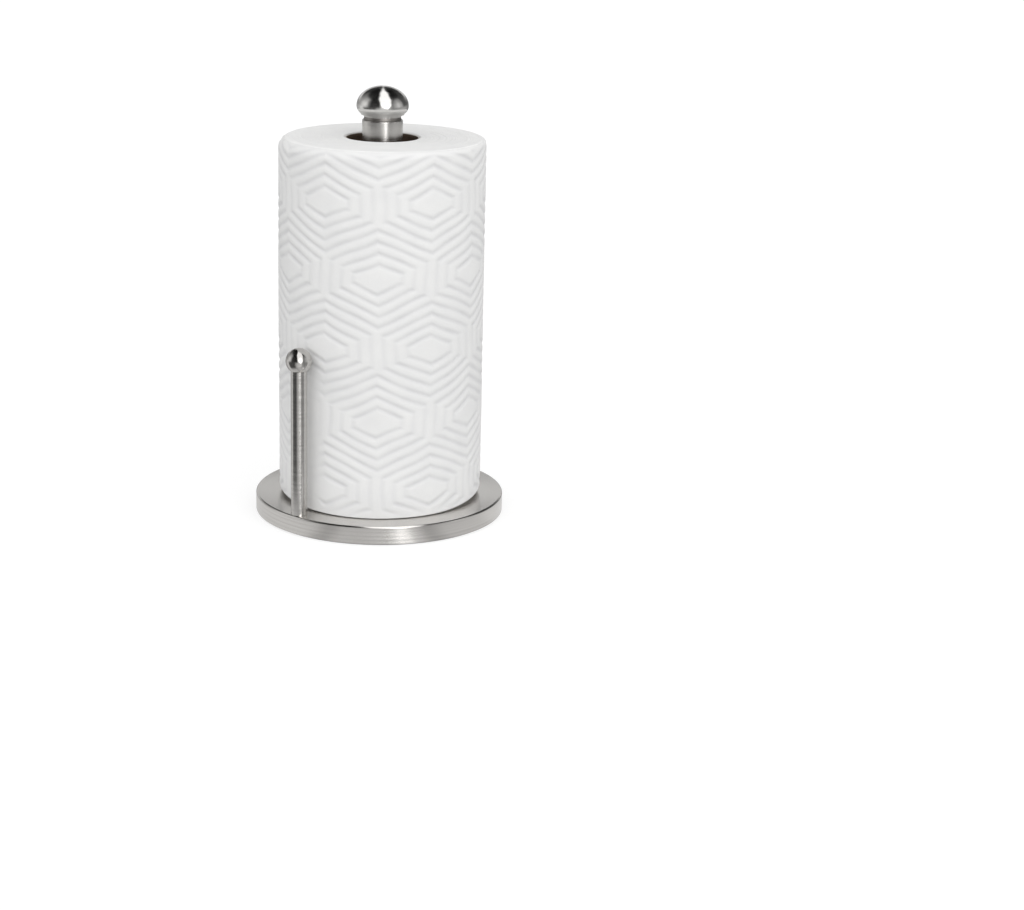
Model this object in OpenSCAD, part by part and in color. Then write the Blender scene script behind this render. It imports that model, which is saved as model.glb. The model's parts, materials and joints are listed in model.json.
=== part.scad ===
// Counter-top paper towel holder with a full roll on its post.
// The origin is the middle of the pad that it stands on, +Z is up, and the side post stands on -Y.
// Sizes are in millimetres.

/* [Base] */
// Outside diameter of the base
base_d = 195; // [195:1:220]
// Height of the base's top above the counter, with the pad
base_h = 15; // [14:0.5:22]
// Thickness of the drawn steel cover
cover_t = 1; // [0.8:0.1:1.2]
// Radius of the cover's top edge
cover_edge_r = 1.4; // [0.5:0.1:1.5]
// Height of the cover's lower lip above the counter
lip_gap = 0.9; // [0.4:0.1:1]
// Thickness of the non-slip pad
pad_t = 1.2; // [1.1:0.1:2]
// Thickness of the closing plate
plate_t = 1; // [0.8:0.1:1.5]
// Thickness of the floor of the cast weight
weight_floor = 5; // [5:0.5:6.5]

/* [Centre post] */
// Outside diameter of the centre tube
post_d = 31; // [28:0.5:34]
// Wall of the centre tube
post_wall = 1.2; // [0.8:0.1:1.6]
// Height of the top of the centre tube above the counter
post_top = 308.2; // [306:0.1:330]
// Diameter of the neck ring between the tube and the finial
collar_d = 30; // [28:0.5:30.5]
// Height of the neck ring
collar_h = 2.4; // [2:0.1:5]
// Largest diameter of the finial
finial_d = 39.6; // [38:0.2:46]
// Height of the finial above the neck ring
finial_h = 23.1; // [22:0.1:26]
// Height of the finial's crown above its widest place
finial_crown = 14.9; // [13:0.1:16]
// Diameter of the finial's foot, on the neck ring
finial_foot_d = 30.8; // [30:0.2:32]
// Wall of the hollow finial
finial_wall = 1; // [0.8:0.1:1.2]

/* [Side post] */
// Distance from the centre of the base to the side post's axis
side_reach = 90.5; // [90.5:0.1:91]
// Outside diameter of the side tube
side_d = 12.4; // [12:0.1:12.4]
// Wall of the side tube
side_wall = 1; // [0.8:0.1:1.2]
// Height of the top of the side tube above the counter
side_top = 128; // [100:1:180]
// Diameter of the side post's ball
side_ball_d = 20; // [18:0.5:20]

/* [Roll] */
// Diameter of the full roll
roll_d = 160.4; // [110:0.1:160.4]
// Height of the roll
roll_h = 280; // [260:1:285]
// Inside diameter of the cardboard core
core_bore = 55; // [48:0.5:57]
// Wall of the cardboard core
core_wall = 1.2; // [0.8:0.1:1.5]
// Rounding of the roll's outer edges
roll_edge_r = 7; // [3:0.5:10]
// Thickness of the last turn of towel
sheet_t = 0.3; // [0.2:0.05:0.5]
// Gap between pieces that move past each other
run_gap = 0.3; // [0.3:0.05:0.5]

/* [Hidden] */
$fn = 96;

eps = 0.5;                                  // how far a cutting shape runs past a face
fit = 0.05;                                 // clearance round a screw or a pressed plug

// Base levels, from the counter upwards
plate_z = pad_t;
weight_z = plate_z + plate_t;
floor_z = weight_z + weight_floor;
cover_z = base_h - cover_t;                 // underside of the cover's top
weight_r = base_d / 2 - cover_t - 0.5;
pad_r = weight_r - 0.3;
rim_r = side_reach - 7;                     // inside of the weight's raised rim
hub_r = 30;

// Post bolt, M8 with a hex head
bolt_r = 4;
bolt_af = 13;
bolt_head_h = 5.3;
bolt_washer_r = 8;
bolt_washer_t = 1.6;
bolt_well_r = 10;
bolt_seat_z = weight_z + bolt_head_h + bolt_washer_t + 0.6;
bolt_end_z = base_h + 16;
lower_plug_h = 18;

// Finial joint, M8 stud
upper_plug_h = 16;
collar_top = post_top + collar_h;
finial_top = collar_top + finial_h;
finial_r = finial_d / 2;
equator_z = finial_top - finial_crown;
finial_drop = finial_h - finial_crown;
foot_ratio = finial_foot_d / finial_d;
finial_belly = finial_drop / sqrt(1 - foot_ratio * foot_ratio);
finial_web = 1.5;
insert_r = 8;
insert_h = 14;
profile_steps = 24;

// Side screw, M5 with a socket head
screw_r = 2.5;
screw_head_r = 4.25;
screw_head_h = 5;
screw_socket_af = 4;
screw_socket_depth = 2.5;
screw_washer_r = 4.5;
screw_washer_t = 1;
screw_well_r = 4.75;
screw_seat_z = weight_z + screw_head_h + screw_washer_t + 0.8;
side_plug_h = 14;
screw_end_z = base_h + 11;
spigot_r = 3;
spigot_h = 8;
side_ball_r = side_ball_d / 2;
side_ball_step = 0.45;                      // how far the ball's foot stands out past the tube
side_foot_r = side_d / 2 + side_ball_step;
side_ball_z = side_top + sqrt(side_ball_r * side_ball_r - side_foot_r * side_foot_r);

// Plate screws, M4 countersunk
plate_screw_count = 4;
plate_screw_ring = 65;
plate_screw_r = 2;
plate_screw_head_r = 3.8;
plate_screw_len = 5.4;
plate_screw_slot = 0.9;

// Roll levels
roll_z = base_h + run_gap;
roll_top = roll_z + roll_h;
core_r = core_bore / 2 + core_wall;
core_inset = 0.5;
sheet_edge_turn = -60;                      // degrees from the side post to the free edge
sheet_edge_gap = 1;

steel = [0.74, 0.72, 0.70];
zinc = [0.62, 0.63, 0.65];
iron = [0.25, 0.25, 0.26];
alloy = [0.80, 0.81, 0.82];
rubber = [0.08, 0.08, 0.08];
card = [0.45, 0.33, 0.22];
towel = [0.95, 0.95, 0.94];

// ---- shared shapes ----

module at_side() {
    translate([0, -side_reach, 0]) children();
}

module at_plate_screws() {
    for (i = [0 : plate_screw_count - 1])
        rotate(45 + i * 360 / plate_screw_count)
            translate([plate_screw_ring, 0, plate_z]) children();
}

module rod(r, z0, z1) {
    translate([0, 0, z0]) cylinder(r = r, h = z1 - z0);
}

module tube(r, bore_r, z0, z1) {
    difference() {
        rod(r, z0, z1);
        rod(bore_r, z0 - eps, z1 + eps);
    }
}

// Countersunk screw, head down at z = 0; grow makes the hole that takes it
module countersunk(grow) {
    head_h = plate_screw_head_r - plate_screw_r;
    cylinder(r1 = plate_screw_head_r + grow, r2 = plate_screw_r - fit + grow, h = head_h + fit);
    cylinder(r = plate_screw_r - fit + grow, h = plate_screw_len);
}

// Points of a quarter ellipse about the axis, centred at height z
function quarter(rx, rz, z, start, finish) = [
    for (i = [0 : profile_steps])
        let (a = start + (finish - start) * i / profile_steps)
            [rx * cos(a), z + rz * sin(a)]
];

// Outline of the finial, shrunk by inset, with its foot cut level at foot_z
function finial_outline(inset, foot_z) =
    let (
        belly = finial_belly - inset,
        crown = finial_crown - inset,
        r = finial_r - inset,
        low = -asin((equator_z - foot_z) / belly)
    )
    concat(
        [[0, foot_z]],
        quarter(r, belly, equator_z, low, 0),
        [for (p = quarter(r, crown, equator_z, 90 / profile_steps, 90)) [max(p[0], 0), p[1]]]
    );

// Solid of revolution with rounded outer edges, as a full roll has
module soft_edged(r, z0, z1, edge_r) {
    rod(r - edge_r, z0, z1);
    rod(r, z0 + edge_r, z1 - edge_r);
    for (z = [z0 + edge_r, z1 - edge_r])
        translate([0, 0, z]) rotate_extrude() translate([r - edge_r, 0]) circle(r = edge_r);
}

// ---- base ----

module foot_pad() {
    color(rubber) rod(pad_r, 0, pad_t);
}

module base_plate() {
    color(zinc) difference() {
        rod(weight_r, plate_z, weight_z);
        rod(bolt_well_r, plate_z - eps, weight_z + eps);
        at_side() rod(screw_well_r, plate_z - eps, weight_z + eps);
        at_plate_screws() countersunk(fit);
    }
}

module plate_screws() {
    color(zinc) at_plate_screws() difference() {
        countersunk(0);
        for (turn = [0, 90])
            rotate(turn) translate([-2, -plate_screw_slot / 2, -eps])
                cube([4, plate_screw_slot, 1 + eps]);
    }
}

module base_weight() {
    color(iron) difference() {
        union() {
            rod(weight_r, weight_z, floor_z);
            tube(weight_r, rim_r, floor_z - eps, cover_z);
            rod(hub_r, floor_z - eps, cover_z);
        }
        rod(bolt_r + 0.3, weight_z - eps, cover_z + eps);
        rod(bolt_well_r, weight_z - eps, bolt_seat_z);
        at_side() {
            rod(screw_r + 0.3, weight_z - eps, cover_z + eps);
            rod(screw_well_r, weight_z - eps, screw_seat_z);
        }
        at_plate_screws() countersunk(fit);
    }
}

module base_cover() {
    outer_r = base_d / 2;
    color(steel) difference() {
        union() {
            rod(outer_r, lip_gap, base_h - cover_edge_r);
            rod(outer_r - cover_edge_r, base_h - 2 * cover_edge_r, base_h);
            translate([0, 0, base_h - cover_edge_r]) rotate_extrude()
                translate([outer_r - cover_edge_r, 0]) circle(r = cover_edge_r);
        }
        rod(outer_r - cover_t, lip_gap - eps, cover_z);
        rod(bolt_r + 0.3, cover_z - eps, base_h + eps);
        at_side() rod(screw_r + 0.3, cover_z - eps, base_h + eps);
    }
}

// ---- centre post ----

module post_bolt() {
    head_z = bolt_seat_z - bolt_washer_t - bolt_head_h;
    color(zinc) {
        translate([0, 0, head_z]) cylinder(r = bolt_af / sqrt(3), h = bolt_head_h, $fn = 6);
        rod(bolt_r - fit, head_z + 1, bolt_end_z);
    }
}

module post_bolt_washer() {
    color(zinc) tube(bolt_washer_r, bolt_r + 0.2, bolt_seat_z - bolt_washer_t, bolt_seat_z);
}

module post_lower_plug() {
    color(alloy) tube(post_d / 2 - post_wall - fit, bolt_r, base_h, base_h + lower_plug_h);
}

module post_tube() {
    color(steel) tube(post_d / 2, post_d / 2 - post_wall, base_h, post_top);
}

module post_upper_plug() {
    color(alloy) tube(post_d / 2 - post_wall - fit, bolt_r, post_top - upper_plug_h, post_top);
}

module finial_collar() {
    color(steel) tube(collar_d / 2, bolt_r + 0.2, post_top, collar_top);
}

module finial_stud() {
    color(zinc) rod(bolt_r - fit, post_top - upper_plug_h + 2, collar_top + insert_h - 2);
}

module finial_insert() {
    color(alloy) tube(insert_r - fit, bolt_r, collar_top, collar_top + insert_h);
}

module finial_ball() {
    color(steel) difference() {
        rotate_extrude() polygon(finial_outline(0, collar_top));
        rotate_extrude() polygon(finial_outline(finial_wall, collar_top + finial_web));
        rod(insert_r, collar_top - eps, collar_top + finial_web + eps);
    }
}

// ---- side post ----

module side_screw() {
    head_z = screw_seat_z - screw_washer_t - screw_head_h;
    color(zinc) at_side() difference() {
        union() {
            rod(screw_head_r, head_z, head_z + screw_head_h);
            rod(screw_r - fit, head_z + 1, screw_end_z);
        }
        translate([0, 0, head_z - eps])
            cylinder(r = screw_socket_af / sqrt(3), h = screw_socket_depth + eps, $fn = 6);
    }
}

module side_screw_washer() {
    color(zinc) at_side()
        tube(screw_washer_r, screw_r + 0.1, screw_seat_z - screw_washer_t, screw_seat_z);
}

module side_lower_plug() {
    color(alloy) at_side()
        tube(side_d / 2 - side_wall - fit, screw_r, base_h, base_h + side_plug_h);
}

module side_tube() {
    color(steel) at_side() tube(side_d / 2, side_d / 2 - side_wall, base_h, side_top);
}

module side_upper_plug() {
    color(alloy) at_side() {
        rod(side_d / 2 - side_wall - fit, side_top - 10, side_top);
        rod(spigot_r - fit, side_top - 1, side_top + spigot_h);
    }
}

module side_ball() {
    color(steel) at_side() difference() {
        translate([0, 0, side_ball_z]) sphere(r = side_ball_r);
        rod(side_ball_r, side_top - side_ball_r, side_top);
        rod(spigot_r, side_top - eps, side_top + spigot_h + 1);
    }
}

// ---- roll ----

module roll_core() {
    color(card) tube(core_r, core_bore / 2, roll_z, roll_top - core_inset);
}

module paper_roll() {
    color(towel) difference() {
        soft_edged(roll_d / 2 - sheet_t, roll_z, roll_top, roll_edge_r);
        rod(core_r + run_gap, roll_z - eps, roll_top + eps);
    }
}

module outer_sheet() {
    z0 = roll_z + roll_edge_r;
    z1 = roll_top - roll_edge_r;
    color(towel) difference() {
        tube(roll_d / 2, roll_d / 2 - sheet_t, z0, z1);
        rotate(sheet_edge_turn - 90)
            translate([0, -sheet_edge_gap / 2, z0 - eps])
                cube([roll_d, sheet_edge_gap, z1 - z0 + 2 * eps]);
    }
}

foot_pad();
base_plate();
plate_screws();
base_weight();
base_cover();
post_bolt();
post_bolt_washer();
post_lower_plug();
post_tube();
post_upper_plug();
finial_collar();
finial_stud();
finial_insert();
finial_ball();
side_screw();
side_screw_washer();
side_lower_plug();
side_tube();
side_upper_plug();
side_ball();
roll_core();
paper_roll();
outer_sheet();
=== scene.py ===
"""Looks of a paper towel holder with a full roll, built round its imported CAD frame.

Everything is in metres in the frame's own axes: +Z up, the side post on -Y.
"""
import json
import math

import bmesh
import bpy
import numpy as np
from mathutils import Matrix, Vector


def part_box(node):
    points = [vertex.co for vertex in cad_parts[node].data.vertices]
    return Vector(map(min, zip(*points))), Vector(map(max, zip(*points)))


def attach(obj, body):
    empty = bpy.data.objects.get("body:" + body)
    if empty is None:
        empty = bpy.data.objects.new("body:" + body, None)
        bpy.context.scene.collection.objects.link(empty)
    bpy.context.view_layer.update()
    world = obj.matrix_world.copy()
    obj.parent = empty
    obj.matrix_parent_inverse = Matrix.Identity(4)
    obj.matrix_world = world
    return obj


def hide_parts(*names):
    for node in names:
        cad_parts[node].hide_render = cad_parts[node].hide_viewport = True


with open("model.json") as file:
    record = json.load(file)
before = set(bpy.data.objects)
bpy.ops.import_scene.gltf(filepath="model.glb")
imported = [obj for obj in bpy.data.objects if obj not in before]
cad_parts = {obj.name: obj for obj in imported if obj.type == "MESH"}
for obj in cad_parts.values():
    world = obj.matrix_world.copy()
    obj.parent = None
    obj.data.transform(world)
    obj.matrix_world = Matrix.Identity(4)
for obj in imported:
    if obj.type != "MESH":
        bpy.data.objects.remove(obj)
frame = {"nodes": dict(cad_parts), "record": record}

MM = 0.001
TURN = 2 * math.pi
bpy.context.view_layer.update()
NODES = frame["nodes"]
SLOT_OF = {part["node"]: part["material_slot"] for part in frame["record"]["subparts"]}

# Camera: where it stands round its pivot, and how far to the right of and below the pivot it aims
VIEW_AZIMUTH = math.radians(42.58)
VIEW_ELEVATION = math.radians(12.45)
VIEW_DISTANCE = 1.75
VIEW_PIVOT = Vector((0, 0, 0.17))
VIEW_ROLL = math.radians(1.45)
AIM_RIGHT = 0.1032
AIM_DOWN = 0.1215
LENS = 78.95
SENSOR_WIDTH = 36


# ---------------------------------------------------------------- mesh helpers

def make_piece(name, points, quads, body, node, look):
    """A smooth quad mesh that rides on a body and stands for one CAD node."""
    mesh = bpy.data.meshes.new(name)
    mesh.vertices.add(len(points))
    mesh.vertices.foreach_set("co", np.asarray(points, np.float32).ravel())
    quads = np.asarray(quads, np.int32)
    mesh.loops.add(quads.size)
    mesh.loops.foreach_set("vertex_index", quads.ravel())
    mesh.polygons.add(len(quads))
    mesh.polygons.foreach_set("loop_start", np.arange(0, quads.size, 4, dtype=np.int32))
    mesh.polygons.foreach_set("use_smooth", np.ones(len(quads), bool))
    mesh.update(calc_edges=True)
    mesh.validate()
    mesh.materials.append(look)
    piece = bpy.data.objects.new(name, mesh)
    bpy.context.scene.collection.objects.link(piece)
    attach(piece, body)
    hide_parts(node)
    return piece


def grid_quads(rows, columns, wrap_rows=False, wrap_columns=False):
    """Quads of a rows x columns grid of points stored row by row."""
    i = np.arange(rows if wrap_rows else rows - 1)
    j = np.arange(columns if wrap_columns else columns - 1)
    i, j = np.meshgrid(i, j, indexing="ij")
    i2, j2 = (i + 1) % rows, (j + 1) % columns
    quads = np.stack([i * columns + j, i2 * columns + j, i2 * columns + j2, i * columns + j2], -1)
    return quads.reshape(-1, 4)


def outline(corners, steps=6, support=0.25 * MM):
    """A closed outline from corners (r, z, fillet): filleted, with short spans that keep flats flat."""
    points = []
    count = len(corners)
    for i, (r, z, fillet) in enumerate(corners):
        here = np.array((r, z))
        if not fillet:
            points.append(here)
            continue
        back = np.array(corners[i - 1][:2]) - here
        ahead = np.array(corners[(i + 1) % count][:2]) - here
        back, ahead = back / np.linalg.norm(back), ahead / np.linalg.norm(ahead)
        half = math.acos(np.clip(back @ ahead, -1, 1)) / 2
        middle = (back + ahead) / np.linalg.norm(back + ahead)
        centre = here + middle * fillet / math.sin(half)
        start = here + back * fillet / math.tan(half)
        finish = here + ahead * fillet / math.tan(half)
        a0 = math.atan2(*(start - centre)[::-1])
        a1 = math.atan2(*(finish - centre)[::-1])
        sweep = (a1 - a0 + math.pi) % TURN - math.pi
        points.append(start + back * support)
        for k in range(steps + 1):
            a = a0 + sweep * k / steps
            points.append(centre + fillet * np.array((math.cos(a), math.sin(a))))
        points.append(finish + ahead * support)
    return np.array(points)


def ellipse_arc(rx, rz, z, start, finish, steps):
    """Points (r, z) on an ellipse about the axis; angles are from its widest place, up positive."""
    angle = np.linspace(start, finish, steps + 1)
    return np.stack([rx * np.cos(angle), z + rz * np.sin(angle)], -1)


def merge_poles(piece):
    """Joins the points that a turned shape has on its axis, which leaves clean triangles there."""
    same_place = 1e-7
    shape = bmesh.new()
    shape.from_mesh(piece.data)
    bmesh.ops.remove_doubles(shape, verts=shape.verts, dist=same_place)
    bmesh.ops.recalc_face_normals(shape, faces=shape.faces)
    shape.to_mesh(piece.data)
    shape.free()


def turned(name, profile, node, look, centre=(0, 0), segments=192):
    """A solid of revolution on the holder, about a vertical axis, from a closed (r, z) outline."""
    angle = np.linspace(0, TURN, segments, endpoint=False)
    r, z = np.maximum(profile[:, 0], 0), profile[:, 1]
    points = np.empty((segments, len(profile), 3))
    points[..., 0] = centre[0] + np.outer(np.cos(angle), r)
    points[..., 1] = centre[1] + np.outer(np.sin(angle), r)
    points[..., 2] = z
    quads = grid_quads(segments, len(profile), wrap_rows=True, wrap_columns=True)
    piece = make_piece(name, points.reshape(-1, 3), quads, "holder", node, look)
    merge_poles(piece)


def wound(name, sections, body, node, look):
    """A closed shape round the axis from equal sections of points, one for each bearing."""
    sections = np.array(sections)
    quads = grid_quads(*sections.shape[:2], wrap_rows=True, wrap_columns=True)
    piece = make_piece(name, sections.reshape(-1, 3), quads, body, node, look)
    merge_poles(piece)


def at_bearing(r, z, bearing):
    return np.stack([r * math.cos(bearing), r * math.sin(bearing), z], -1)


def smooth_step(x):
    x = np.clip(x, 0, 1)
    return x * x * (3 - 2 * x)


def middle_of(node):
    lo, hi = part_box(node)
    return ((lo.x + hi.x) / 2, (lo.y + hi.y) / 2)


# ------------------------------------------------------------ material helpers

NOISE_LOW, NOISE_HIGH = 0.3, 0.7                    # a noise texture seldom leaves this range


def new_material(name, colour, roughness, metallic=0.0):
    look = bpy.data.materials.new(name)
    look.use_nodes = True
    shader = look.node_tree.nodes["Principled BSDF"]
    shader.inputs["Base Color"].default_value = (*colour, 1)
    shader.inputs["Roughness"].default_value = roughness
    shader.inputs["Metallic"].default_value = metallic
    return look, look.node_tree, shader


def add(tree, kind, **values):
    """A new node, with its own settings and its unlinked inputs given by name."""
    node = tree.nodes.new(kind)
    for key, value in values.items():
        if hasattr(node, key):
            setattr(node, key, value)
        else:
            node.inputs[key.replace("_", " ")].default_value = value
    return node


def maths(tree, operation, a, b=None):
    """A Math node; each operand is a number or another node's output."""
    node = add(tree, "ShaderNodeMath", operation=operation)
    for socket, value in zip(node.inputs, (a, b)):
        if value is None:
            continue
        if isinstance(value, (int, float)):
            socket.default_value = value
        else:
            tree.links.new(value, socket)
    return node.outputs[0]


def spread(tree, value, low, high, from_low=0.0, from_high=1.0):
    """Maps a value from one range to another, and holds it within that."""
    node = add(tree, "ShaderNodeMapRange")
    node.inputs["From Min"].default_value = from_low
    node.inputs["From Max"].default_value = from_high
    node.inputs["To Min"].default_value = low
    node.inputs["To Max"].default_value = high
    tree.links.new(value, node.inputs["Value"])
    return node.outputs["Result"]


def noise_spread(tree, value, low, high):
    """Maps a noise's usual range to another."""
    return spread(tree, value, low, high, NOISE_LOW, NOISE_HIGH)


def noise(tree, vector, scale, detail=2.0, roughness=0.5):
    node = add(tree, "ShaderNodeTexNoise", Scale=scale, Detail=detail, Roughness=roughness)
    tree.links.new(vector, node.inputs["Vector"])
    return node.outputs["Fac"]


def weighed(tree, first, share, second):
    """The sum of two values, with this share of the first."""
    return maths(tree, "ADD", maths(tree, "MULTIPLY", first, share),
                 maths(tree, "MULTIPLY", second, 1 - share))


def object_point(tree, centre=(0, 0, 0)):
    """Position in the object's own axes, from the given centre."""
    place = add(tree, "ShaderNodeTexCoord")
    shift = add(tree, "ShaderNodeVectorMath", operation="SUBTRACT")
    tree.links.new(place.outputs["Object"], shift.inputs[0])
    shift.inputs[1].default_value = centre
    return shift.outputs["Vector"]


def split(tree, vector):
    """The x, y and z of a vector."""
    parts = add(tree, "ShaderNodeSeparateXYZ")
    tree.links.new(vector, parts.inputs[0])
    return parts.outputs


def mixed_colour(tree, fac, first, second):
    """Blends two colours; each is an (r, g, b) or another node's output."""
    node = add(tree, "ShaderNodeMix", data_type="RGBA")
    tree.links.new(fac, node.inputs["Factor"])
    for socket, colour in ((node.inputs[6], first), (node.inputs[7], second)):
        if isinstance(colour, tuple):
            socket.default_value = (*colour, 1)
        else:
            tree.links.new(colour, socket)
    return node.outputs[2]


def shades(colour, dark, light):
    """A colour made darker and lighter by two factors."""
    return tuple(c * dark for c in colour), tuple(min(1, c * light) for c in colour)


def bump(tree, shader, heights):
    """Chains bumps, each (height output, depth in metres, strength), into the shader's normal."""
    last = None
    for height, depth, strength in heights:
        node = add(tree, "ShaderNodeBump", Strength=strength, Distance=depth)
        tree.links.new(height, node.inputs["Height"])
        if last:
            tree.links.new(last, node.inputs["Normal"])
        last = node.outputs["Normal"]
    tree.links.new(last, shader.inputs["Normal"])


def turning_lines(tree, centre, line_pitch):
    """Noise that runs in rings round a vertical axis: rings on a flat, level lines on a side."""
    along_scale = 2.5                               # the larger, the longer each line
    place = object_point(tree, (*centre, 0))
    x, y, z = split(tree, place)
    r = maths(tree, "SQRT", maths(tree, "ADD", maths(tree, "POWER", x, 2), maths(tree, "POWER", y, 2)))
    r = maths(tree, "MAXIMUM", r, 1e-5)
    ring = add(tree, "ShaderNodeCombineXYZ")
    along = maths(tree, "MULTIPLY", r, along_scale)
    tree.links.new(maths(tree, "DIVIDE", x, along), ring.inputs[0])
    tree.links.new(maths(tree, "DIVIDE", y, along), ring.inputs[1])
    across = maths(tree, "MULTIPLY", maths(tree, "ADD", r, z), 1 / line_pitch)
    tree.links.new(across, ring.inputs[2])
    return ring.outputs[0], place


# ------------------------------------------------------------------- materials

def turned_steel(name, centre=(0, 0), colour=(0.60, 0.585, 0.565), rough=(0.20, 0.32),
                 line_pitch=1.2 * MM, depth=0.004 * MM, anisotropy=0.6, matt_below=None):
    """Satin stainless steel, brushed round its axis, with faint smudges where hands touch it."""
    look, tree, shader = new_material(name, colour, sum(rough) / 2, 1.0)
    rings, place = turning_lines(tree, centre, line_pitch)
    lines = noise(tree, rings, scale=0.8, detail=1.0)
    smudge = noise(tree, place, scale=38.0)
    roughness = noise_spread(tree, weighed(tree, lines, 0.7, smudge), *rough)
    if matt_below:
        matt = spread(tree, split(tree, place)[2], 0.55, 0.0, matt_below - 2 * MM, matt_below)
        roughness = maths(tree, "MAXIMUM", roughness, matt)
    tree.links.new(roughness, shader.inputs["Roughness"])
    tint = mixed_colour(tree, noise_spread(tree, lines, 0, 1), *shades(colour, 0.95, 1.05))
    tree.links.new(tint, shader.inputs["Base Color"])
    bump(tree, shader, [(lines, depth, 0.35)])
    shader.inputs["Anisotropic"].default_value = anisotropy
    shader.inputs["Anisotropic Rotation"].default_value = 0.25
    tangent = add(tree, "ShaderNodeTangent", direction_type="RADIAL", axis="Z")
    tree.links.new(tangent.outputs[0], shader.inputs["Tangent"])
    return look


def plain_metal(name, colour, rough, grain, depth):
    """Plated or machined metal with a mottled surface."""
    look, tree, shader = new_material(name, colour, rough, 1.0)
    mottle = noise(tree, object_point(tree), scale=grain, detail=4.0, roughness=0.6)
    tint = mixed_colour(tree, noise_spread(tree, mottle, 0, 1), *shades(colour, 0.82, 1.1))
    tree.links.new(tint, shader.inputs["Base Color"])
    tree.links.new(noise_spread(tree, mottle, rough - 0.08, rough + 0.1), shader.inputs["Roughness"])
    bump(tree, shader, [(mottle, depth, 0.3)])
    return look


def cast_iron():
    look, tree, shader = new_material("cast_iron_weight", (0.07, 0.07, 0.072), 0.7, 0.6)
    place = object_point(tree)
    sand = noise(tree, place, scale=900.0, detail=4.0, roughness=0.7)
    patches = noise(tree, place, scale=40.0, detail=3.0)
    tint = mixed_colour(tree, patches, (0.045, 0.043, 0.042), (0.11, 0.10, 0.095))
    tree.links.new(tint, shader.inputs["Base Color"])
    tree.links.new(spread(tree, sand, 0.6, 0.85), shader.inputs["Roughness"])
    bump(tree, shader, [(sand, 0.15 * MM, 0.6)])
    return look


def pad_rubber():
    """Black foam rubber with open cells."""
    look, tree, shader = new_material("pad_rubber", (0.018, 0.018, 0.019), 0.8)
    cells = noise(tree, object_point(tree), scale=1500.0, detail=3.0, roughness=0.6)
    tint = mixed_colour(tree, cells, (0.012, 0.012, 0.013), (0.035, 0.035, 0.036))
    tree.links.new(tint, shader.inputs["Base Color"])
    tree.links.new(spread(tree, cells, 0.72, 0.92), shader.inputs["Roughness"])
    bump(tree, shader, [(cells, 0.1 * MM, 0.6)])
    shader.inputs["Specular IOR Level"].default_value = 0.3
    return look


def core_card():
    """Cardboard with plies and fibres, coloured near-black as painted shade of the roll's hole; paler at
    its two ends: the cut edge, with painted light at the rim.
    """
    look, tree, shader = new_material("core_card", (0.30, 0.21, 0.135), 0.9)
    rings, place = turning_lines(tree, (0, 0), 2.5 * MM)
    plies = noise(tree, rings, scale=1.0, detail=3.0)
    fibres = noise(tree, place, scale=700.0, detail=4.0, roughness=0.65)
    blend = noise_spread(tree, weighed(tree, plies, 0.5, fibres), 0, 1)
    # painted shade: the card is near-black, for the shade deep in the roll's hole; its plies and fibres
    # vary it
    card_in_painted_shade = mixed_colour(tree, blend, (0.05, 0.034, 0.024), (0.11, 0.078, 0.056))
    middle = (CORE_LOW.z + CORE_HIGH.z) / 2
    end = CORE_HIGH.z - middle
    from_middle = maths(tree, "ABSOLUTE", maths(tree, "SUBTRACT", split(tree, place)[2], middle))
    # its two ends: the card's paler cut edge, and painted light where light falls in at the rim
    cut_edge_and_painted_light = spread(tree, from_middle, 0, 1, end - 0.5 * MM, end - 0.1 * MM)
    tree.links.new(mixed_colour(tree, cut_edge_and_painted_light, card_in_painted_shade, (0.66, 0.64, 0.61)), shader.inputs["Base Color"])
    tree.links.new(spread(tree, fibres, 0.82, 0.97), shader.inputs["Roughness"])
    bump(tree, shader, [(fibres, 0.12 * MM, 0.5), (plies, 0.1 * MM, 0.4)])
    shader.inputs["Specular IOR Level"].default_value = 0.2
    return look


def towel_paper(name, light, pressed=False, layered=False):
    """Soft white tissue with crepe and tiny pits; quilted lines greyed with painted shade, or the edges of
    wound layers, on it.
    """
    look, tree, shader = new_material(name, (0.86, 0.86, 0.85), 0.95)
    place = object_point(tree)
    crepe = noise(tree, place, scale=1400.0, detail=4.0, roughness=0.65)
    cloud = noise(tree, place, scale=60.0, detail=3.0)
    pits = add(tree, "ShaderNodeTexVoronoi", feature="SMOOTH_F1", Scale=900.0)
    tree.links.new(place, pits.inputs["Vector"])
    tone = noise_spread(tree, weighed(tree, crepe, 0.5, cloud), 0, 1)
    paper = mixed_colour(tree, tone, (light - 0.06,) * 3, (light, light, light - 0.01))
    if pressed:
        # painted shade: the quilted lines are greyed by their depth, for the shade that falls in them
        # between the soft pillows
        line = add(tree, "ShaderNodeAttribute", attribute_name="pressed")
        paper = mixed_colour(tree, line.outputs["Fac"], paper, (0.71, 0.71, 0.715))
    tree.links.new(paper, shader.inputs["Base Color"])
    tree.links.new(spread(tree, crepe, 0.88, 1.0), shader.inputs["Roughness"])
    heights = [(crepe, 0.09 * MM, 0.35), (pits.outputs["Distance"], 0.12 * MM, 0.25)]
    if layered:
        rings, _ = turning_lines(tree, (0, 0), 0.7 * MM)
        heights.append((noise(tree, rings, scale=1.0, detail=3.0, roughness=0.6), 0.5 * MM, 0.5))
    bump(tree, shader, heights)
    shader.inputs["Specular IOR Level"].default_value = 0.08
    shader.inputs["Sheen Weight"].default_value = 0.03
    shader.inputs["Sheen Roughness"].default_value = 0.6
    return look


# ---------------------------------------------------------------------- camera

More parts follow.
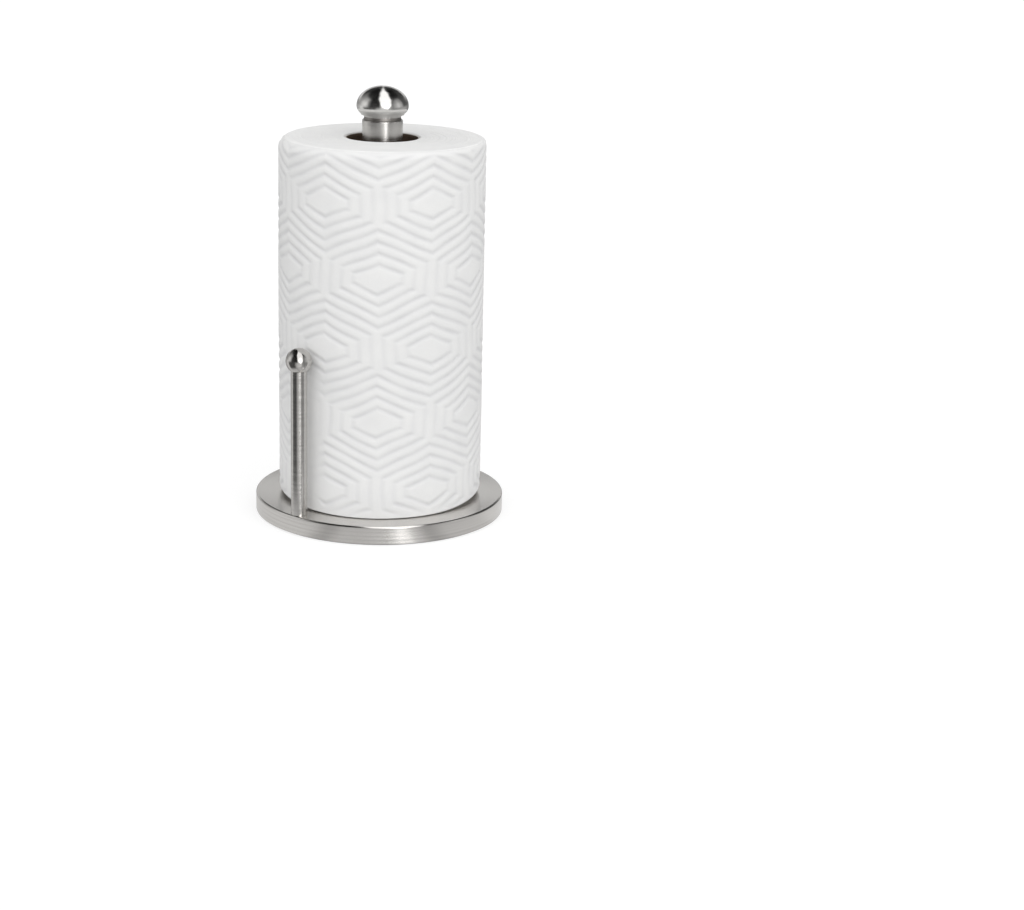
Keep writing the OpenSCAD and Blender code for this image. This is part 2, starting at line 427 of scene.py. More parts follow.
def build_camera():
    """Puts the camera on the view's bearing and turns it to its aim, with a slight roll."""
    ce, se = math.cos(VIEW_ELEVATION), math.sin(VIEW_ELEVATION)
    ca, sa = math.cos(VIEW_AZIMUTH), math.sin(VIEW_AZIMUTH)
    back = Vector((sa * ce, -ca * ce, se))
    right = Vector((ca, sa, 0))
    up = right.cross(-back)
    place = VIEW_PIVOT + back * VIEW_DISTANCE
    aim = VIEW_PIVOT + right * AIM_RIGHT - up * AIM_DOWN
    forward = (aim - place).normalized()
    level = forward.cross(Vector((0, 0, 1))).normalized()
    over = level.cross(forward)
    cr, sr = math.cos(VIEW_ROLL), math.sin(VIEW_ROLL)
    x_axis = level * cr + over * sr
    y_axis = over * cr - level * sr
    camera = bpy.data.objects.new("camera", bpy.data.cameras.new("camera"))
    camera.data.lens = LENS
    camera.data.sensor_width = SENSOR_WIDTH
    turn = Matrix((x_axis, y_axis, -forward)).transposed().to_4x4()
    camera.matrix_world = Matrix.Translation(place) @ turn
    bpy.context.scene.collection.objects.link(camera)
    bpy.context.scene.camera = camera


# ------------------------------------------------------------------------ base

def build_cover(steel):
    """Drawn steel shell with a rounded top edge and a hemmed lip."""
    lo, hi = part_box("base_cover")
    r, top, lip = hi.x, hi.z, lo.z
    wall = 1.0 * MM
    hem = 0.35 * MM
    profile = outline([
        (0, top, 0),
        (r, top, 1.4 * MM),
        (r, lip, hem),
        (r - wall, lip, hem),
        (r - wall, top - wall, 0.3 * MM),
        (0, top - wall, 0),
    ])
    turned("base_cover_shell", profile, "base_cover", steel, segments=320)


def build_pad(rubber):
    lo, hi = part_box("foot_pad")
    edge = 0.3 * MM
    profile = outline([(0, hi.z, 0), (hi.x, hi.z, edge), (hi.x, lo.z, edge), (0, lo.z, 0)], 4)
    turned("foot_pad_disc", profile, "foot_pad", rubber, segments=256)


# ----------------------------------------------------------------- centre post

def build_post_tube(steel):
    lo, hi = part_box("post_tube")
    r, bore = hi.x, hi.x - 1.2 * MM
    edge = 0.2 * MM
    profile = outline([
        (bore, hi.z, 0.25 * MM), (r, hi.z, 0.5 * MM), (r, lo.z, edge), (bore, lo.z, edge),
    ])
    turned("post_tube_steel", profile, "post_tube", steel)


def build_neck(steel):
    """The ring under the finial narrows upwards, so that it reads as a groove."""
    lo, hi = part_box("finial_collar")
    narrowing = 1.1 * MM
    bore = 4.2 * MM
    share = np.linspace(0, 1, 15)
    r = hi.x - narrowing * np.cos(math.pi / 2 * share) ** 0.7
    outer = np.stack([r, hi.z + (lo.z - hi.z) * share], -1)
    profile = np.vstack([[(bore, hi.z)], outer, [(bore, lo.z)]])
    turned("finial_neck_ring", profile, "finial_collar", steel)


def finial_foot(lo_z, skirt_top):
    """Outline of the undercut foot, its rolled rim and the nearly upright skirt under the ball."""
    foot_r, rim_z, lip = 14.2 * MM, lo_z + 1.2 * MM, 0.35 * MM
    skirt_low = np.array((16.4 * MM, lo_z + 1.7 * MM))
    skirt_high = np.array((16.8 * MM, skirt_top))
    foot = np.array([(foot_r - 2 * lip, lo_z), (foot_r - lip, lo_z), (foot_r, lo_z + lip),
                     (foot_r, rim_z - lip)])
    turn_in = np.linspace(0, math.pi / 2, 6)[:-1]
    rim = np.stack([foot_r + (skirt_low[0] - foot_r) * np.sin(turn_in),
                    skirt_low[1] - (skirt_low[1] - rim_z) * np.cos(turn_in)], -1)
    share = np.linspace(0, 1, 6)[:, None]
    skirt = skirt_low * (1 - share) + skirt_high * share
    return np.vstack([foot, rim, skirt])


def build_finial(steel):
    """Hollow oblate ball on its foot, with a web inside that takes the insert."""
    lo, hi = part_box("finial_ball")
    r, crown, belly = hi.x, 14.9 * MM, 11.0 * MM
    wall, low_wall = 1.0 * MM, 1.6 * MM
    web_r, web_z = 8 * MM, lo.z + 1.5 * MM
    equator = hi.z - crown
    low = ellipse_arc(r, belly, equator, math.radians(-30), 0, 28)
    high = ellipse_arc(r, crown, equator, 0, math.pi / 2, 40)[1:]
    inner_end = -math.asin((equator - web_z) / belly)
    inner_high = ellipse_arc(r - wall, crown - wall, equator, math.pi / 2, 0, 24)
    inner_low = ellipse_arc(r - low_wall, belly, equator, 0, inner_end, 12)[1:]
    web = np.array([(web_r, web_z), (web_r, lo.z)])
    foot = finial_foot(lo.z, low[0][1] - 0.15 * MM)
    profile = np.vstack([web, foot, low, high, inner_high, inner_low])
    turned("finial_ball_steel", profile, "finial_ball", steel, segments=224)


# ------------------------------------------------------------------- side post

def build_side_tube(steel):
    lo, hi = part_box("side_tube")
    r = (hi.x - lo.x) / 2
    bore = r - 1.0 * MM
    edge = 0.15 * MM
    profile = outline([
        (bore, hi.z, edge), (r, hi.z, 0.3 * MM), (r, lo.z, edge), (bore, lo.z, edge),
    ], 4)
    turned("side_tube_steel", profile, "side_tube", steel, middle_of("side_tube"), 128)


def build_side_ball(steel):
    """Ball with a flat foot and a blind hole for its plug."""
    lo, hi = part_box("side_ball")
    r = (hi.x - lo.x) / 2
    middle = hi.z - r
    bore, bore_top = 3 * MM, lo.z + 9 * MM
    foot_edge = 0.2 * MM
    low = -math.asin((middle - lo.z) / r)
    ball = ellipse_arc(r, r, middle, low, math.pi / 2, 56)
    ball[0] += (-foot_edge, 0.05 * MM)
    inside = np.array([(0, bore_top), (bore, bore_top), (bore, lo.z), (ball[0][0] - foot_edge, lo.z)])
    turned("side_ball_steel", np.vstack([inside, ball]), "side_ball", steel, middle_of("side_tube"), 160)


# ------------------------------------------------------------------------ roll

ROLL_LOW, ROLL_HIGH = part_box("paper_roll")
SHEET_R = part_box("outer_sheet")[1].x
CORE_LOW, CORE_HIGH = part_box("roll_core")
SIDE_BEARING = math.radians(-90)
FREE_EDGE = SIDE_BEARING - math.radians(60)         # where the last turn ends, out of the camera's sight
VIEW_BEARING = VIEW_AZIMUTH - math.pi / 2           # the side of the roll that the camera faces
LEFT_BEARING = VIEW_BEARING - math.pi / 2

# Quilting: rows of hexagons, each with lines nested inside it
HEX_PITCH = 85.0 * MM                               # across, in one row
ROW_PITCH = 55.2 * MM                               # up, from row to row
ROW_ZERO = 35.2 * MM                                # height of a row that is half a pitch aside
ROWS = range(-1, 6)
ACROSS_ZERO = -2.7 * MM                             # how far the pattern lies from the camera's side
LINE_PITCH = 8.35 * MM                              # between nested lines, measured upwards
LINE_SLOPE = math.tan(math.radians(22.9))
LINE_DEPTH = 0.9 * MM
SIDE_SCALE = 0.889                                  # closeness of the upright lines
SIDE_START = 5.3 * MM
SIDE_DEPTH = 0.45                                   # upright lines against slanted ones
INNERMOST = 7 * MM                                  # no lines nearer to a hexagon's middle
LINE_FADE = 2 * MM

# The last turn and the winding under it
SHEET_CELL = 1.0 * MM
SHEET_UNDER = math.radians(14)                      # how far the sheet runs on under its free edge
SHEET_ARC = math.radians(80)                        # how far it wraps over the roll's edges
BLEND_ARC = math.radians(64)                        # where it goes under the wound layers' face
SHEET_TUCK = 0.25 * MM                              # the free edge lies down this much, on the turn below
SPIRAL_STEP = 0.6 * MM                              # the last turn's thickness with its quilting
PAPER = 0.25 * MM
WAVE_ROOM = 0.52 * MM                               # space for the sheet's slight waviness
HAIR = 0.05 * MM                                    # keeps two faces from lying in each other
SINK = 0.35 * MM                                    # the layers' edges lie this much below the roll's ends
HIDDEN = PAPER + LINE_DEPTH + 0.5 * MM              # how deep the winding lies under the sheet
EDGE_ROWS = 12


def quilting(across, up):
    """Depth, 0 to 1, of the nested hexagon lines at a place on the flat sheet."""
    # soft paper lets the lines wander a little
    wander_across, wander_up = 0.6 * MM, 0.5 * MM
    across = across - ACROSS_ZERO + wander_across * np.sin(160 * up + 2)
    up = up + wander_up * np.sin(150 * across + 40 * up)
    size = np.full(np.broadcast(across, up).shape, np.inf)
    upright = np.zeros(size.shape)
    for row in ROWS:
        dv = np.abs(up - ROW_ZERO - row * ROW_PITCH)
        shift = HEX_PITCH / 2 if row % 2 == 0 else 0
        du = np.abs((across - shift + HEX_PITCH / 2) % HEX_PITCH - HEX_PITCH / 2)
        slanted = dv + LINE_SLOPE * du
        sideways = SIDE_SCALE * du - SIDE_START
        this = np.maximum(slanted, sideways)
        steep = smooth_step((sideways - slanted) / LINE_FADE + 0.5)
        upright = np.where(this < size, steep, upright)
        size = np.minimum(size, this)
    border = (ROW_PITCH + LINE_SLOPE * HEX_PITCH / 2) / 2
    phase = (border - size) / LINE_PITCH
    line = (0.5 + 0.5 * np.cos(TURN * phase)) ** 2
    uneven = 0.18
    press = 1 - uneven + uneven * np.sin(210 * across + 1.3) * np.sin(170 * up + 0.4)
    press = press * (1 - (1 - SIDE_DEPTH) * upright)
    return line * press * smooth_step((size - INNERMOST) / LINE_FADE)


def top_round(bearing):
    """Radius of the roll's top edge: softest on the side that has been squeezed."""
    return (6.3 + 2.2 * np.cos(bearing - LEFT_BEARING)) * MM


def bottom_round(bearing):
    """Radius of the roll's lower edge: crisp towards the camera and round at the sides."""
    return (0.8 + 2.6 * np.sin(bearing - VIEW_BEARING) ** 4) * MM


def bottom_raise(bearing):
    """How far the roll's lower edge stands off the base: least towards the camera."""
    return (0.1 + 2.7 * np.sin(bearing - VIEW_BEARING) ** 4) * MM


def turn_radius(back):
    """Radius of the last turn at an angle back from its free edge: it winds inwards."""
    return SHEET_R - WAVE_ROOM - SPIRAL_STEP * back / TURN


def wound_radius(back):
    """Radius of the wound layers just under the last turn, without a step at its free edge."""
    back = back % TURN
    under = SPIRAL_STEP * (1 - smooth_step(back / math.radians(20)))
    return turn_radius(back) - HAIR - under


def sheet_profile(bearing, side_rows):
    """(inset from the side, height, outward r, outward z) down the sheet, from its top edge."""
    rt, rb = top_round(bearing), bottom_round(bearing)
    foot_z = ROLL_LOW.z + bottom_raise(bearing)
    arc = np.linspace(SHEET_ARC, 0, EDGE_ROWS)
    top = [(rt * (1 - math.cos(a)), ROLL_HIGH.z - rt * (1 - math.sin(a)), math.cos(a), math.sin(a))
           for a in arc]
    bottom = [(rb * (1 - math.cos(a)), foot_z + rb * (1 - math.sin(a)), math.cos(a), -math.sin(a))
              for a in arc[::-1]]
    z = np.linspace(ROLL_HIGH.z - rt, foot_z + rb, side_rows)[1:-1]
    side = [(0, h, 1, 0) for h in z]
    return np.array(top + side + bottom).T


def pressed_depth(bearing, back, up, z):
    """Depth, 0 to 1, of the quilting down one section, up being the way from its top edge."""
    rt = top_round(bearing)
    height = ROLL_HIGH.z - rt + rt * SHEET_ARC - up
    across = (bearing - VIEW_BEARING + TURN) * SHEET_R
    depth = quilting(across, height)
    # rubbed nearly flat beside the side post, up to its top
    from_post = abs(bearing + TURN - SIDE_BEARING)
    near_post = smooth_step((math.radians(11) - from_post) / math.radians(6))
    low = smooth_step((135 * MM - z) / (15 * MM))
    depth = depth * (1 - 0.9 * near_post * low)
    # plain along its two ends and its two long edges
    end_margin, end_fade = 1 * MM, 5 * MM
    under_fade = math.radians(2)
    top_margin, top_fade, foot_fade = 2 * MM, 6 * MM, 9 * MM
    depth = depth * smooth_step((back * SHEET_R - end_margin) / end_fade)
    depth = depth * smooth_step((TURN + under_fade - back) / under_fade)
    return depth * smooth_step((up - top_margin) / top_fade) * smooth_step((up[-1] - up) / foot_fade)


def sheet_section(back, side_rows):
    """Outer points, inner points and pressed depth down the sheet, an angle back from its free edge."""
    bearing = FREE_EDGE - back
    inset, z, out_r, out_z = sheet_profile(bearing, side_rows)
    up = np.concatenate([[0], np.cumsum(np.hypot(np.diff(inset), np.diff(z)))])
    depth = pressed_depth(bearing, back, up, z)
    wave = 0.12 * MM * np.sin(2.3 * bearing + 17 * z) + 0.1 * MM * np.sin(5 * bearing - 31 * z)
    tuck_reach = 9 * MM
    down = SHEET_TUCK * math.exp(-(back * SHEET_R / tuck_reach) ** 2)
    # under the free edge the sheet keeps clear of the lines pressed over it
    tucked = LINE_DEPTH * smooth_step((back - TURN) / math.radians(3))
    # its long edges sink in between the wound layers
    arc = np.arcsin(np.abs(out_z))
    sink = SINK * smooth_step((arc - BLEND_ARC + 0.1) / (SHEET_ARC - BLEND_ARC))
    out = wave * smooth_step(back * 6) - depth * LINE_DEPTH - sink
    overlap = (PAPER + HAIR) * smooth_step((back - TURN) / math.radians(2) + 1)
    edge = wound_radius(back) + HAIR - overlap
    shoulder = smooth_step((arc - 0.5) / 0.5)
    base = (turn_radius(back) - down - tucked) * (1 - shoulder) + edge * shoulder - inset
    r, zz = base + out * out_r, z + out * out_z
    inner = at_bearing(r - PAPER * out_r, zz - PAPER * out_z, bearing)
    return at_bearing(r, zz, bearing), inner, depth


def build_sheet(look):
    """The last turn of towel: a thin quilted ribbon that spirals under its own free edge."""
    total = TURN + SHEET_UNDER
    turn = np.linspace(0, total, int(total * SHEET_R / SHEET_CELL))
    close_to_edge = np.radians([0.1, 0.25, 0.45])       # finer steps, where the sheet changes fastest
    turn = np.sort(np.concatenate([turn, close_to_edge]))
    side_rows = int((ROLL_HIGH.z - ROLL_LOW.z) / SHEET_CELL)
    outer, inner, lines = zip(*[sheet_section(back, side_rows) for back in turn])
    outer, inner = np.array(outer), np.array(inner)
    columns, count = outer.shape[:2]
    n = columns * count
    face = grid_quads(columns, count)
    quads = [face[:, ::-1], face + n]
    top = np.arange(columns) * count
    end = np.arange(count)
    for line, flip in ((top, False), (top + count - 1, True), (end, True), (n - count + end, False)):
        strip = np.stack([line[:-1], line[1:], line[1:] + n, line[:-1] + n], -1)
        quads.append(strip[:, ::-1] if flip else strip)
    points = np.concatenate([outer.reshape(-1, 3), inner.reshape(-1, 3)])
    piece = make_piece("towel_outer_sheet", points, np.concatenate(quads), "towel", "outer_sheet", look)
    # the quilting's depth at each point, which the paper's material uses as the mask of its painted shade
    pressed = piece.data.attributes.new("pressed", "FLOAT", "POINT")
    depths = np.concatenate([np.ravel(lines), np.zeros(n)]).astype(np.float32)
    pressed.data.foreach_set("value", depths)


def winding_section(bearing, ring_high, ring_phase, ring_low):
    """Points round one section of the winding: top face, edge, hidden side, edge, foot and bore."""
    side_rows, bore_rows, arc_rows = 6, 10, 15
    bore = CORE_HIGH.x + 0.3 * MM
    share = np.linspace(0, 1, len(ring_high))
    rt, rb = top_round(bearing), bottom_round(bearing)
    foot_z = ROLL_LOW.z + bottom_raise(bearing)
    full = wound_radius((FREE_EDGE - bearing) % TURN)
    # the upper face, a little uneven from layer to layer
    fade = np.clip(np.minimum(share, 1 - share) * 12, 0, 1)
    ripple = 0.16 * MM * fade * (0.6 + 0.4 * np.sin(2 * bearing + ring_phase))
    r_top = bore + (full - rt - bore) * share
    z_top = ROLL_HIGH.z + ring_high * ripple - SINK * fade
    # the round edge, the side and the lower edge, which all go under the sheet
    edge_low = full - rb
    arc = np.linspace(math.pi / 2, 0, arc_rows + 1)[1:]
    hide = smooth_step((BLEND_ARC - arc) / 0.14) * HIDDEN
    r_arc = full - rt + (rt - hide) * np.cos(arc)
    z_arc = ROLL_HIGH.z - rt + (rt - hide) * np.sin(arc)
    z_side = np.linspace(z_arc[-1], foot_z + rb, side_rows + 2)[1:-1]
    r_side = np.full(side_rows, full - HIDDEN)
    arc_low, hide_low = arc[::-1], hide[::-1]
    r_arc_low = edge_low + (rb - hide_low) * np.cos(arc_low)
    z_arc_low = foot_z + rb - (rb - hide_low) * np.sin(arc_low)
    # the lower face, which stands on the base except near its edge
    r_low = bore + (edge_low - bore) * share[::-1]
    off_base = smooth_step((r_low - edge_low + 10 * MM) / (8 * MM))
    z_low = ROLL_LOW.z + np.abs(ring_low[::-1] * ripple[::-1]) + (foot_z - ROLL_LOW.z) * off_base
    # the bore round the core
    z_bore = np.linspace(ROLL_LOW.z, ROLL_HIGH.z, bore_rows + 2)[1:-1]
    r = np.concatenate([r_top, r_arc, r_side, r_arc_low, r_low, np.full(bore_rows, bore)])
    z = np.concatenate([z_top, z_arc, z_side, z_arc_low, z_low, z_bore])
    return at_bearing(r, np.minimum(z, ROLL_HIGH.z), bearing)


def build_winding(look):
    """The wound towel inside the last turn: its two ends show the edges of the layers."""
    rings, columns = 64, 420
    rng = np.random.default_rng(7)
    ring_high = rng.normal(0, 1, rings)
    ring_phase = rng.uniform(0, TURN, rings)
    ring_low = rng.normal(0, 1, rings)
    sections = [winding_section(bearing, ring_high, ring_phase, ring_low)
                for bearing in np.linspace(0, TURN, columns, endpoint=False)]
    wound("towel_winding", sections, "towel", "paper_roll", look)


def build_core(look):
    """Spirally wound cardboard tube, with the step of its seam inside and out."""
    outer, wall, step_height = CORE_HIGH.x, 1.2 * MM, 0.22 * MM
    columns, rows = 180, 150
    seam_pitch = 95 * MM
    z = np.linspace(CORE_HIGH.z, CORE_LOW.z, rows)
    sections = []
    for bearing in np.linspace(0, TURN, columns, endpoint=False):
        phase = (bearing / TURN + z / seam_pitch) % 1
        step = step_height * (smooth_step(phase * 14) - smooth_step((phase - 0.6) / 0.4))
        r_out = outer - step_height + step
        r_in = outer - wall + step_height - step
        around = np.concatenate([r_out, r_in[::-1]])
        sections.append(at_bearing(around, np.concatenate([z, z[::-1]]), bearing))
    wound("core_tube", sections, "core", "roll_core", look)


# --------------------------------------------------------- hidden CAD hardware

def dress_hidden_nodes():
    """CAD pieces inside the holder keep their shape and get their own metals."""
    zinc = plain_metal("zinc_steel", (0.60, 0.61, 0.63), 0.36, 260.0, 0.02 * MM)
    alloy = plain_metal("plug_alloy", (0.78, 0.79, 0.80), 0.32, 500.0, 0.01 * MM)
    looks = {"zinc_steel": zinc, "plug_alloy": alloy, "weight_iron": cast_iron()}
    for name, node in NODES.items():
        if SLOT_OF[name] in looks:
            node.data.materials.clear()
            node.data.materials.append(looks[SLOT_OF[name]])


# ---------------------------------------------------------------------- studio

SOFT_LIGHT = 1.15
FRONT_LIGHT = 0.39                                  # how much more of it comes from the camera's side
PEAK = 4.0                                          # the brightest card
TABLE_FILL = 0.34                                   # light of its own that the table near the base gives

# What polished steel sees round it, by bearing from the camera in degrees, right positive
CARDS = [
    (-180, 0.05), (-150, 0.06), (-135, 0.28), (-120, 0.45), (-98, 0.80), (-84, 0.88), (-74, 0.55),
    (-66, 0.18), (-56, 0.03), (-18, 0.01), (-8, 0.13), (37, 0.15), (46, 0.24), (60, 0.46), (76, 0.70),
    (92, 0.46), (110, 0.10), (180, 0.05),
]
STRIP = [(-180, 0.0), (-12, 0.0), (-6, 0.5), (10, 0.8), (14, 4.0), (23, 4.0), (27, 0.8), (32, 0.3),
         (38, 0.0), (180, 0.0)]
BELOW = [(-180, 0.30), (-130, 0.50), (-114, 0.80), (-102, 0.75), (-88, 0.12), (-80, 0.08), (-38, 0.08),
         (-22, 0.45), (-8, 0.68), (12, 0.75), (22, 0.80), (31, 0.42), (50, 0.28), (80, 0.34),
         (108, 0.45), (150, 0.25), (180, 0.30)]
BACK_GLOW = [(-180, 0.62), (-168, 0.62), (-152, 0.8), (-142, 0.3), (-125, 0.0), (125, 0.0), (150, 0.2),
             (158, 0.7), (168, 0.62), (180, 0.62)]
# Half width of the tall soft light in front, by the angle up and over from the camera's side
TALL_LIGHT = [(-180, 0.0), (-60, 0.0), (-20, 0.06), (-5, 0.14), (12, 0.36), (24, 0.40), (60, 0.39),
              (95, 0.21), (128, 0.05), (145, 0.0), (180, 0.0)]
TALL_LIGHT_ASIDE = [(-10, 0.30), (125, 0.01)]       # its middle, to the right, by the same angle
TALL_LIGHT_BRIGHT = 1.4
# What the base's side sees on the table close by, by bearing
TABLE_RING = [(-180, 0.60), (-70, 0.66), (-41, 0.66), (-29, 0.44), (-19, 0.60), (4, 0.58), (8, 0.72),
              (11, 1.02), (15, 0.98), (19, 0.66), (28, 0.42), (40, 0.58), (60, 0.62), (75, 0.74),
              (180, 0.60)]

# How each of them fades with height, by the sine of the elevation
CARDS_HEIGHT = [(-1, 1), (0.3, 1), (0.6, 0.6), (0.8, 0.03), (1, 0)]
STRIP_HEIGHT = [(-1, 1), (0.2, 1), (0.5, 0.3), (0.7, 0), (1, 0)]
GLOW_HEIGHT = [(-1, 0.3), (0.05, 0.3), (0.18, 1), (0.32, 1), (0.38, 0), (1, 0)]
OVER_BELOW = [(-1, 0), (-0.12, 0), (0.04, 1), (1, 1)]
SOFT_HEIGHT = [(-1, 0.35), (-0.1, 0.6), (0.15, 0.9), (0.35, 1), (0.6, 0.95), (0.8, 0.66), (1, 0.52)]


def ramp(tree, share, stops):
    """A grey ramp over a share from 0 to 1, from (position, brightness) pairs."""
    node = add(tree, "ShaderNodeValToRGB")
    node.color_ramp.interpolation = "EASE"
    points = node.color_ramp.elements
    while len(points) > 1:
        points.remove(points[-1])
    points[0].position = stops[0][0]
    points[0].color = (*[stops[0][1]] * 3, 1)
    for position, value in stops[1:]:
        points.new(position).color = (value, value, value, 1)
    tree.links.new(share, node.inputs[0])
    return node.outputs[0]


def by_bearing(tree, share, stops):
    """Stops are (degrees, brightness); what comes out is a share of the peak."""
    return ramp(tree, share, [(a / 360 + 0.5, v / PEAK) for a, v in stops])


def by_height(tree, z, stops):
    """Stops are (sine of the elevation, brightness)."""
    share = maths(tree, "ADD", maths(tree, "MULTIPLY", z, 0.5), 0.5)
    return ramp(tree, share, [(s / 2 + 0.5, v) for s, v in stops])


def from_camera(tree, vector):
    """The x, y and z of a vector, with x to the camera's right and y away from it."""
    turn = add(tree, "ShaderNodeVectorRotate", rotation_type="Z_AXIS", Angle=-VIEW_AZIMUTH)
    tree.links.new(vector, turn.inputs["Vector"])
    return split(tree, turn.outputs[0])


def angle_share(tree, side, y):
    """The angle from the camera's side towards another axis, and its share of a turn, from -180 up."""
    angle = maths(tree, "ARCTAN2", side, maths(tree, "MULTIPLY", y, -1.0))
    return angle, maths(tree, "ADD", maths(tree, "DIVIDE", angle, TURN), 0.5)


def joined(tree, kind, first, second, share=None):
    """A Mix Shader, or an Add Shader, which has no share."""
    node = add(tree, kind)
    if share:
        tree.links.new(share, node.inputs[0])
    tree.links.new(first, node.inputs[-2])
    tree.links.new(second, node.inputs[-1])
    return node.outputs[0]


def by_ray(tree, to_camera, to_gloss, to_rest):
    """What the camera sees, what polished steel sees, and what lights everything else."""
    path = add(tree, "ShaderNodeLightPath")
    unseen = joined(tree, "ShaderNodeMixShader", to_rest, to_gloss, path.outputs["Is Glossy Ray"])
    return joined(tree, "ShaderNodeMixShader", unseen, to_camera, path.outputs["Is Camera Ray"])


def tall_light(tree, x, y, z):
    """A soft light that leans from low in front of the object up and over it."""
    over_angle, over_share = angle_share(tree, z, y)
    half_width = maths(tree, "MULTIPLY", by_bearing(tree, over_share, TALL_LIGHT), PEAK)
    (low_angle, low_aside), (high_angle, high_aside) = TALL_LIGHT_ASIDE
    ends = (math.radians(low_angle), math.radians(high_angle))
    middle = spread(tree, over_angle, low_aside, high_aside, *ends)
    aside = maths(tree, "ABSOLUTE", maths(tree, "SUBTRACT", x, middle))
    inside = maths(tree, "SUBTRACT", half_width, aside)
    edge = (-0.02, 0.05)
    return spread(tree, inside, 0.0, TALL_LIGHT_BRIGHT / PEAK, *edge)


def card_pattern(tree, x, y, z):
    """The light cards that polished steel sees, as a share of the peak."""
    _, share = angle_share(tree, x, y)
    cards, strip, glow = (
        maths(tree, "MULTIPLY", by_bearing(tree, share, stops), by_height(tree, z, heights))
        for stops, heights in ((CARDS, CARDS_HEIGHT), (STRIP, STRIP_HEIGHT), (BACK_GLOW, GLOW_HEIGHT)))
    tall = tall_light(tree, x, y, z)
    above = maths(tree, "ADD", maths(tree, "ADD", cards, strip), maths(tree, "ADD", glow, tall))
    pattern = add(tree, "ShaderNodeMix", data_type="FLOAT")
    tree.links.new(by_height(tree, z, OVER_BELOW), pattern.inputs["Factor"])
    tree.links.new(by_bearing(tree, share, BELOW), pattern.inputs[2])
    tree.links.new(above, pattern.inputs[3])
    return pattern.outputs[0]


def build_world():
    """White to the camera, a soft high ring of light to matt things, light cards to polished ones."""
    world = bpy.data.worlds.new("studio")
    bpy.context.scene.world = world
    world.use_nodes = True
    tree = world.node_tree
    tree.nodes.clear()
    x, y, z = from_camera(tree, add(tree, "ShaderNodeTexCoord").outputs["Generated"])
    shown = add(tree, "ShaderNodeBackground", Color=(1, 1, 1, 1), Strength=1.05)
    soft = add(tree, "ShaderNodeBackground", Strength=SOFT_LIGHT)
    facing = maths(tree, "SUBTRACT", 1.0, maths(tree, "MULTIPLY", y, FRONT_LIGHT))
    light = maths(tree, "MULTIPLY", by_height(tree, z, SOFT_HEIGHT), facing)
    tree.links.new(light, soft.inputs["Color"])
    mirrored = add(tree, "ShaderNodeBackground", Strength=PEAK)
    tree.links.new(card_pattern(tree, x, y, z), mirrored.inputs["Color"])
    output = add(tree, "ShaderNodeOutputWorld")
    whole = by_ray(tree, shown.outputs[0], mirrored.outputs[0], soft.outputs[0])
    tree.links.new(whole, output.inputs[0])


def floor_look():
    """White, with a different share of light for the camera, for matt things and for steel."""
    look = bpy.data.materials.new("floor_white")
    look.use_nodes = True
    tree = look.node_tree
    tree.nodes.clear()
    place = object_point(tree)
    x, y, _ = from_camera(tree, place)
    _, share = angle_share(tree, x, y)
    length = add(tree, "ShaderNodeVectorMath", operation="LENGTH")
    tree.links.new(place, length.inputs[0])
    from_middle = length.outputs["Value"]

    # to the camera: mostly its own light, which keeps shadows faint
    glow = add(tree, "ShaderNodeEmission", Strength=0.72)
    white = add(tree, "ShaderNodeBsdfDiffuse", Color=(0.35, 0.35, 0.35, 1))
    seen = joined(tree, "ShaderNodeAddShader", glow.outputs[0], white.outputs[0])

    # to matt things: what falls on it, and some light of its own near the base
    plain = add(tree, "ShaderNodeBsdfDiffuse", Color=(0.42, 0.42, 0.42, 1))
    fill = add(tree, "ShaderNodeEmission")
    tree.links.new(spread(tree, from_middle, TABLE_FILL, 0, 0.12, 0.25), fill.inputs["Strength"])
    matt = joined(tree, "ShaderNodeAddShader", plain.outputs[0], fill.outputs[0])

    # to polished steel: a ring of light near the base, and nothing beyond it
    near = add(tree, "ShaderNodeEmission", Strength=PEAK)
    tree.links.new(by_bearing(tree, share, TABLE_RING), near.inputs["Color"])
    clear = add(tree, "ShaderNodeBsdfTransparent")
    gone = spread(tree, from_middle, 0, 1, 0.15, 0.24)
    mirrored = joined(tree, "ShaderNodeMixShader", near.outputs[0], clear.outputs[0], gone)

    output = add(tree, "ShaderNodeOutputMaterial")
    tree.links.new(by_ray(tree, seen, mirrored, matt), output.inputs[0])
    return look


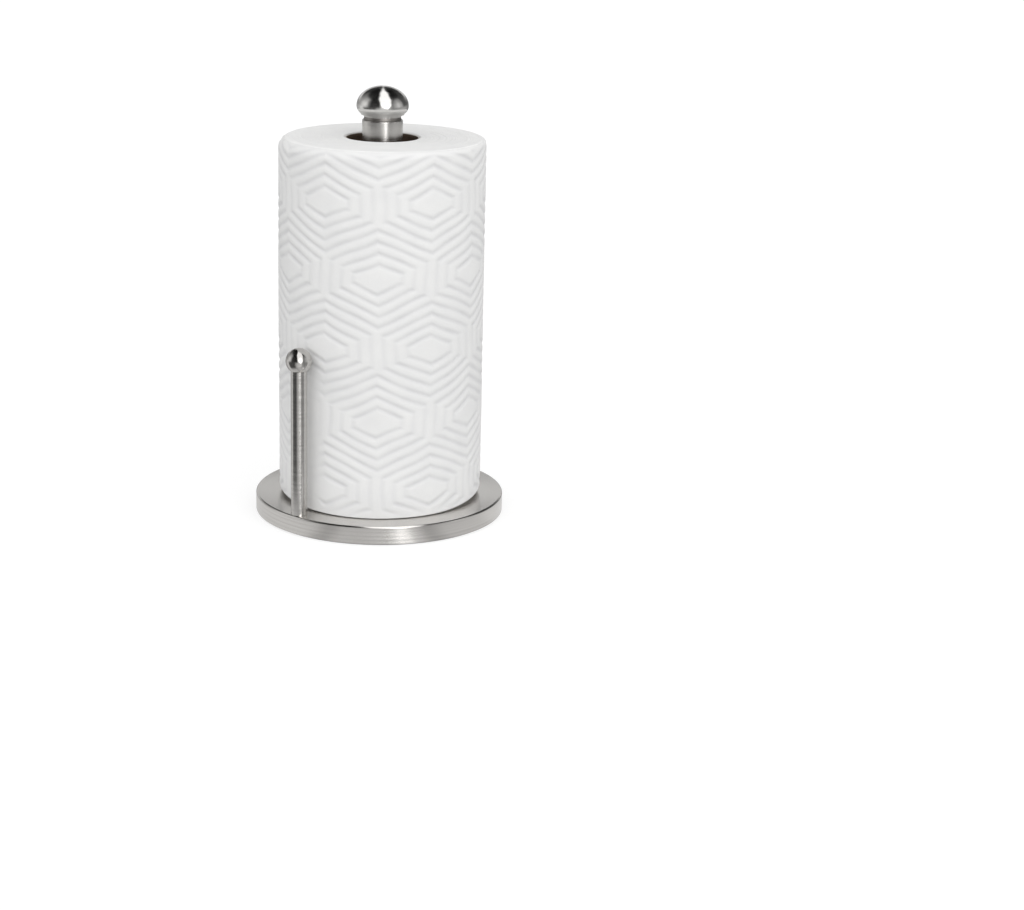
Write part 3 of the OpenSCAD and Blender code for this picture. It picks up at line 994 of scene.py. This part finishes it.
def build_floor():
    """A round white table; steel sees only the part of it near the object."""
    segments = 96
    rings = np.array([0.0, 0.2, 0.5, 0.9])
    angle = np.linspace(0, TURN, segments, endpoint=False)
    points = np.stack([np.outer(np.cos(angle), rings), np.outer(np.sin(angle), rings),
                       np.zeros((segments, len(rings)))], -1).reshape(-1, 3)
    quads = grid_quads(segments, len(rings), wrap_rows=True)
    mesh = bpy.data.meshes.new("floor")
    mesh.from_pydata(points.tolist(), [], quads.tolist())
    mesh.materials.append(floor_look())
    floor = bpy.data.objects.new("floor", mesh)
    bpy.context.scene.collection.objects.link(floor)


def key_light():
    """A soft square light to the right of the camera, that faces the camera's pivot."""
    bearing = VIEW_BEARING + math.radians(26)
    elevation = math.radians(24)
    distance = 1.3
    away = Vector((math.cos(bearing) * math.cos(elevation),
                   math.sin(bearing) * math.cos(elevation), math.sin(elevation)))
    data = bpy.data.lights.new("key", "AREA")
    data.size = 0.7
    data.energy = 1.9
    light = bpy.data.objects.new("key", data)
    light.location = VIEW_PIVOT + away * distance
    light.rotation_mode = "QUATERNION"
    light.rotation_quaternion = (-away).to_track_quat("-Z", "Y")
    light.visible_glossy = False
    bpy.context.scene.collection.objects.link(light)


# ------------------------------------------------------------------------ main

build_camera()
base_steel = turned_steel("base_steel", colour=(0.73, 0.71, 0.685), rough=(0.17, 0.27),
                          depth=0.009 * MM, anisotropy=0.75)
post_steel = turned_steel("post_steel", rough=(0.20, 0.28), anisotropy=0.8)
# painted shade: the neck ring's steel is coloured dark, for the shade in the groove under the finial
neck_steel_painted_shade = turned_steel("neck_steel_painted_shade", colour=(0.30, 0.285, 0.27), rough=(0.35, 0.5), anisotropy=0.3)
finial_steel = turned_steel("finial_steel", colour=(0.72, 0.71, 0.69), rough=(0.13, 0.20),
                            line_pitch=0.9 * MM, depth=0.003 * MM, anisotropy=0.7,
                            matt_below=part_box("finial_ball")[1].z - 16.5 * MM)
side_steel = turned_steel("side_steel", middle_of("side_tube"), rough=(0.18, 0.26), anisotropy=0.7)
side_ball_steel = turned_steel("side_ball_steel", middle_of("side_tube"), rough=(0.13, 0.20),
                               line_pitch=0.9 * MM, depth=0.003 * MM, anisotropy=0.7)

build_cover(base_steel)
build_pad(pad_rubber())
build_post_tube(post_steel)
build_neck(neck_steel_painted_shade)
build_finial(finial_steel)
build_side_tube(side_steel)
build_side_ball(side_ball_steel)
build_sheet(towel_paper("towel_sheet_paper", 0.84, pressed=True))
build_winding(towel_paper("towel_roll_paper", 0.90, layered=True))
build_core(core_card())
dress_hidden_nodes()
bpy.context.scene.view_settings.view_transform = "Standard"
build_world()
build_floor()
key_light()
